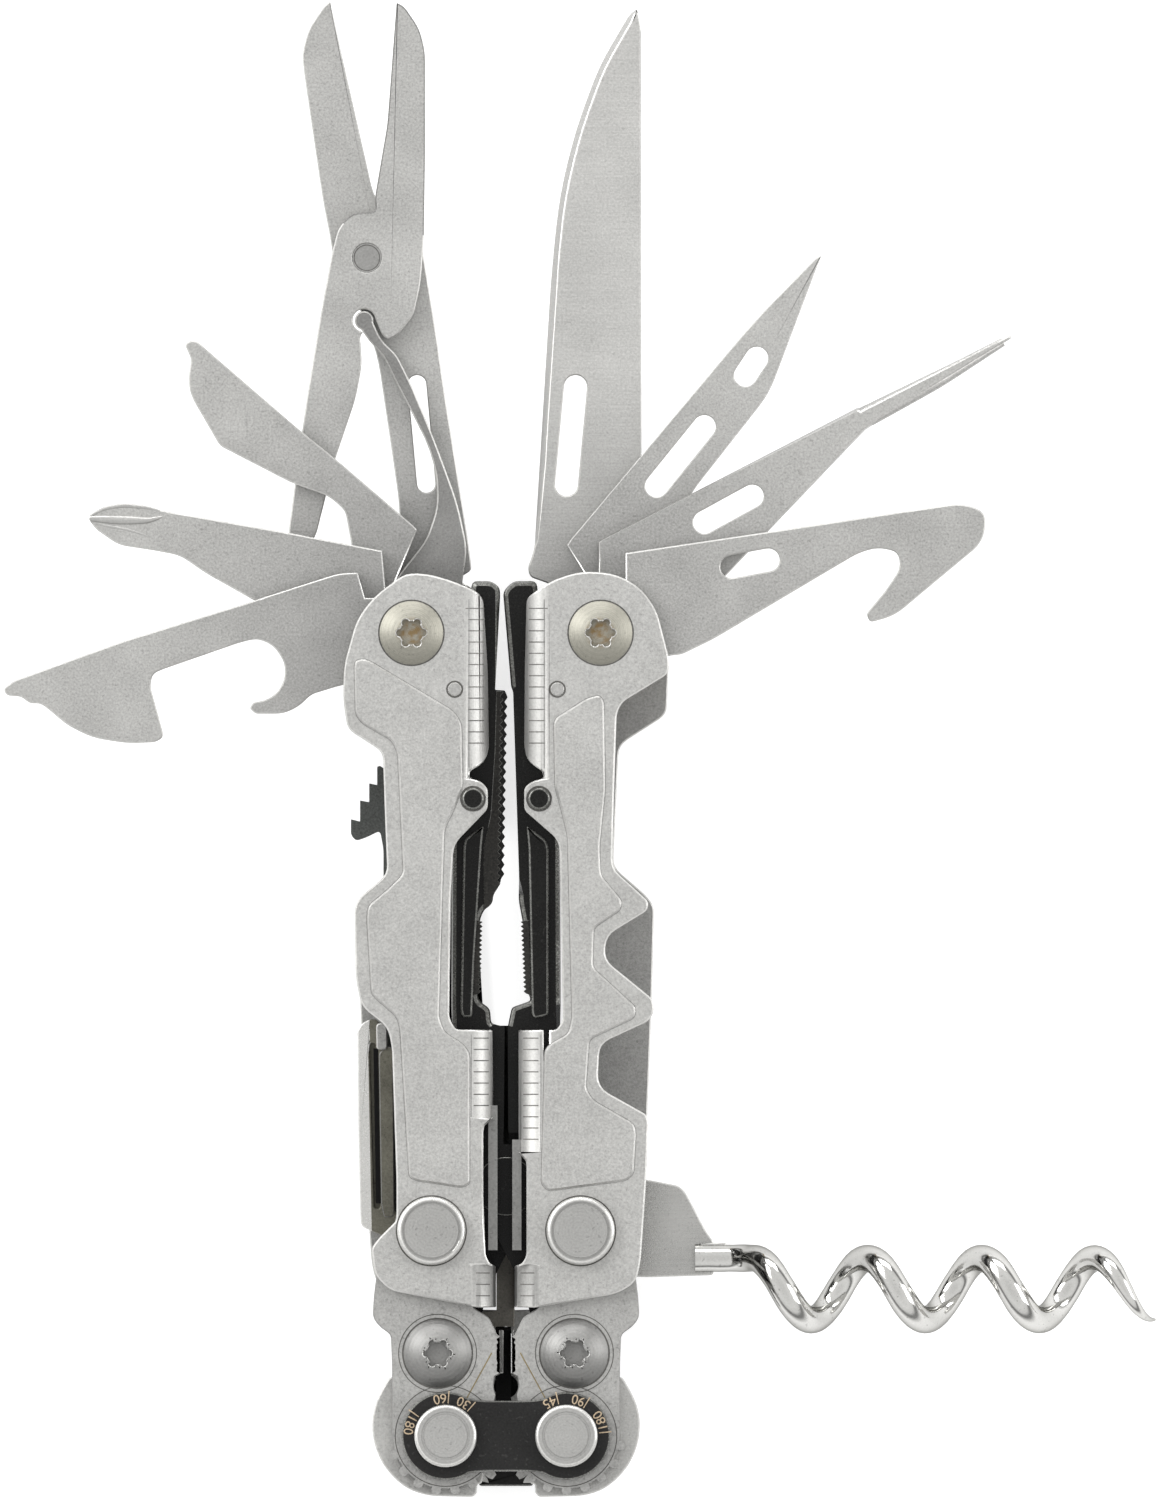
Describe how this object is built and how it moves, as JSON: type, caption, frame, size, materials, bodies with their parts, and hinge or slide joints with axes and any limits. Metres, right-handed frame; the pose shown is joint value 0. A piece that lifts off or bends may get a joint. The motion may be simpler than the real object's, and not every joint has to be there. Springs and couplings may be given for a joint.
{
  "type": "multi tool",
  "caption": "Compact folding multi tool, opened out: pliers held between two geared handles, with fold-out blades, drivers, scissors, opener and corkscrew.",
  "frame": {"origin": "middle of the opened-out tool's outline, on the plane of the back pin heads", "axes": "+Y from the plier gears towards the fanned tools, +X to the right across both handles, +Z out of the front face; the tool lies flat on its back"},
  "size_m": [0.101, 0.1314, 0.0192],
  "materials": {
    "black_oxide": "black oxide, satin",
    "shell_steel": "bead-blasted stainless steel",
    "plate_steel": "stamped stainless steel, satin",
    "pin_steel": "turned stainless steel",
    "screw_steel": "turned stainless steel with lobed sockets",
    "washer_brass": "thin bronze washers",
    "blade_steel": "bead-blasted blade steel with ground edges",
    "polished_steel": "polished stainless steel"
  },
  "bodies": {
    "yoke": {"yoke_front": "black_oxide", "yoke_back": "black_oxide", "gear_pin_left": "pin_steel", "gear_pin_right": "pin_steel"},
    "left_handle": {"front_shell_left": "shell_steel", "back_shell_left": "shell_steel", "gear_plate_front_left": "plate_steel", "gear_plate_back_left": "plate_steel", "jaw_screw_left": "screw_steel", "jaw_nut_left": "screw_steel", "tool_screw_left": "screw_steel", "tool_nut_left": "screw_steel", "lower_pin_left": "pin_steel", "tool_washers_left": "washer_brass", "shell_rivets_left": "pin_steel", "stop_pin_left": "black_oxide"},
    "right_handle": {"front_shell_right": "shell_steel", "back_shell_right": "shell_steel", "gear_plate_front_right": "plate_steel", "gear_plate_back_right": "plate_steel", "jaw_screw_right": "screw_steel", "jaw_nut_right": "screw_steel", "tool_screw_right": "screw_steel", "tool_nut_right": "screw_steel", "lower_pin_right": "pin_steel", "tool_washers_right": "washer_brass", "shell_rivets_right": "pin_steel", "stop_pin_right": "black_oxide", "lower_spacer_right": "pin_steel"},
    "pliers_joint": {"jaw_pivot": "pin_steel"},
    "left_jaw": {"jaw_left": "black_oxide"},
    "right_jaw": {"jaw_right": "black_oxide"},
    "knife_blade": {"knife": "blade_steel"},
    "awl_blade": {"awl": "blade_steel"},
    "flute_driver_blade": {"flute_driver": "blade_steel"},
    "hook_cutter_blade": {"hook_cutter": "blade_steel"},
    "corkscrew": {"corkscrew_base": "polished_steel", "corkscrew_worm": "polished_steel"},
    "scissors": {"scissors_tang": "blade_steel", "scissors_spring": "blade_steel"},
    "scissors_link": {"scissors_rivet": "pin_steel"},
    "scissors_arm": {"scissors_lever": "blade_steel"},
    "flat_driver_blade": {"flat_driver": "blade_steel"},
    "cross_driver_blade": {"cross_driver": "blade_steel"},
    "opener_blade": {"bottle_opener": "blade_steel"},
    "saw_hook_blade": {"saw_hook": "black_oxide"},
    "lever_blade": {"lower_lever": "blade_steel"}
  },
  "joints": [
    {"name": "left_handle_swing", "type": "hinge", "parent": "yoke", "child": "left_handle", "pos_m": [-0.0117, -0.06, 0.0096], "axis": [0, 0, 1], "range_deg": [0, 135]},
    {"name": "right_handle_swing", "type": "hinge", "parent": "yoke", "child": "right_handle", "pos_m": [-0.0011, -0.06, 0.0096], "axis": [0, 0, 1], "range_deg": [-135, 0]},
    {"name": "pliers_slide", "type": "slide", "parent": "yoke", "child": "pliers_joint", "axis": [0, -1, 0], "range_m": [0, 0.0152]},
    {"name": "left_jaw_open", "type": "hinge", "parent": "pliers_joint", "child": "left_jaw", "pos_m": [-0.0064, -0.0381, 0.0096], "axis": [0, 0, 1], "range_deg": [0, 16.58]},
    {"name": "right_jaw_open", "type": "hinge", "parent": "pliers_joint", "child": "right_jaw", "pos_m": [-0.0064, -0.0381, 0.0096], "axis": [0, 0, 1], "range_deg": [-16.58, 0]},
    {"name": "knife_fold", "type": "hinge", "parent": "right_handle", "child": "knife_blade", "pos_m": [0.0019, 0.01045, 0.0122], "axis": [0, 0, 1], "range_deg": [-174, 0]},
    {"name": "awl_fold", "type": "hinge", "parent": "right_handle", "child": "awl_blade", "pos_m": [0.0019, 0.01045, 0.0122], "axis": [0, 0, 1], "range_deg": [-150, 0]},
    {"name": "flute_driver_fold", "type": "hinge", "parent": "right_handle", "child": "flute_driver_blade", "pos_m": [0.0019, 0.01045, 0.0122], "axis": [0, 0, 1], "range_deg": [-126, 0]},
    {"name": "hook_cutter_fold", "type": "hinge", "parent": "right_handle", "child": "hook_cutter_blade", "pos_m": [0.0019, 0.01045, 0.0122], "axis": [0, 0, 1], "range_deg": [-102, 0]},
    {"name": "corkscrew_fold", "type": "hinge", "parent": "right_handle", "child": "corkscrew", "pos_m": [0.00015, -0.042, 0.006], "axis": [0, 0, 1], "range_deg": [0, 88]},
    {"name": "scissors_fold", "type": "hinge", "parent": "left_handle", "child": "scissors", "pos_m": [-0.0147, 0.01045, 0.0122], "axis": [0, 0, 1], "range_deg": [0, 169.4]},
    {"name": "scissors_press", "type": "hinge", "parent": "scissors", "child": "scissors_link", "pos_m": [-0.0186, 0.04335, 0.0109], "axis": [0, 0, 1], "range_deg": [0, 19.1]},
    {"name": "scissors_squeeze", "type": "hinge", "parent": "scissors_link", "child": "scissors_arm", "pos_m": [-0.0186, 0.04335, 0.0109], "axis": [0, 0, -1], "range_deg": [-19, 0], "stiffness_Nm_per_rad": 0.001, "deforming": ["scissors_spring"]},
    {"name": "flat_driver_fold", "type": "hinge", "parent": "left_handle", "child": "flat_driver_blade", "pos_m": [-0.0147, 0.01045, 0.0122], "axis": [0, 0, 1], "range_deg": [0, 140]},
    {"name": "cross_driver_fold", "type": "hinge", "parent": "left_handle", "child": "cross_driver_blade", "pos_m": [-0.0147, 0.01045, 0.0122], "axis": [0, 0, 1], "range_deg": [0, 110]},
    {"name": "opener_fold", "type": "hinge", "parent": "left_handle", "child": "opener_blade", "pos_m": [-0.0147, 0.01045, 0.0122], "axis": [0, 0, 1], "range_deg": [0, 78]},
    {"name": "saw_hook_fold", "type": "hinge", "parent": "left_handle", "child": "saw_hook_blade", "pos_m": [-0.01295, -0.042, 0.006], "axis": [0, 0, 1], "range_deg": [0, 90]},
    {"name": "lever_fold", "type": "hinge", "parent": "left_handle", "child": "lever_blade", "pos_m": [-0.01295, -0.042, 0.006], "axis": [0, 0, 1], "range_deg": [0, 75]}
  ],
  "couplings": [
    {"joint": "right_handle_swing", "follows": "left_handle_swing", "ratio": -1},
    {"joint": "pliers_slide", "follows": "left_handle_swing", "m_per_rad": 0.0064468},
    {"joint": "left_jaw_open", "follows": "left_handle_swing", "ratio": 0.12269},
    {"joint": "right_jaw_open", "follows": "left_handle_swing", "ratio": -0.12269},
    {"joint": "scissors_press", "follows": "scissors_fold", "ratio": 0.11216}
  ]
}
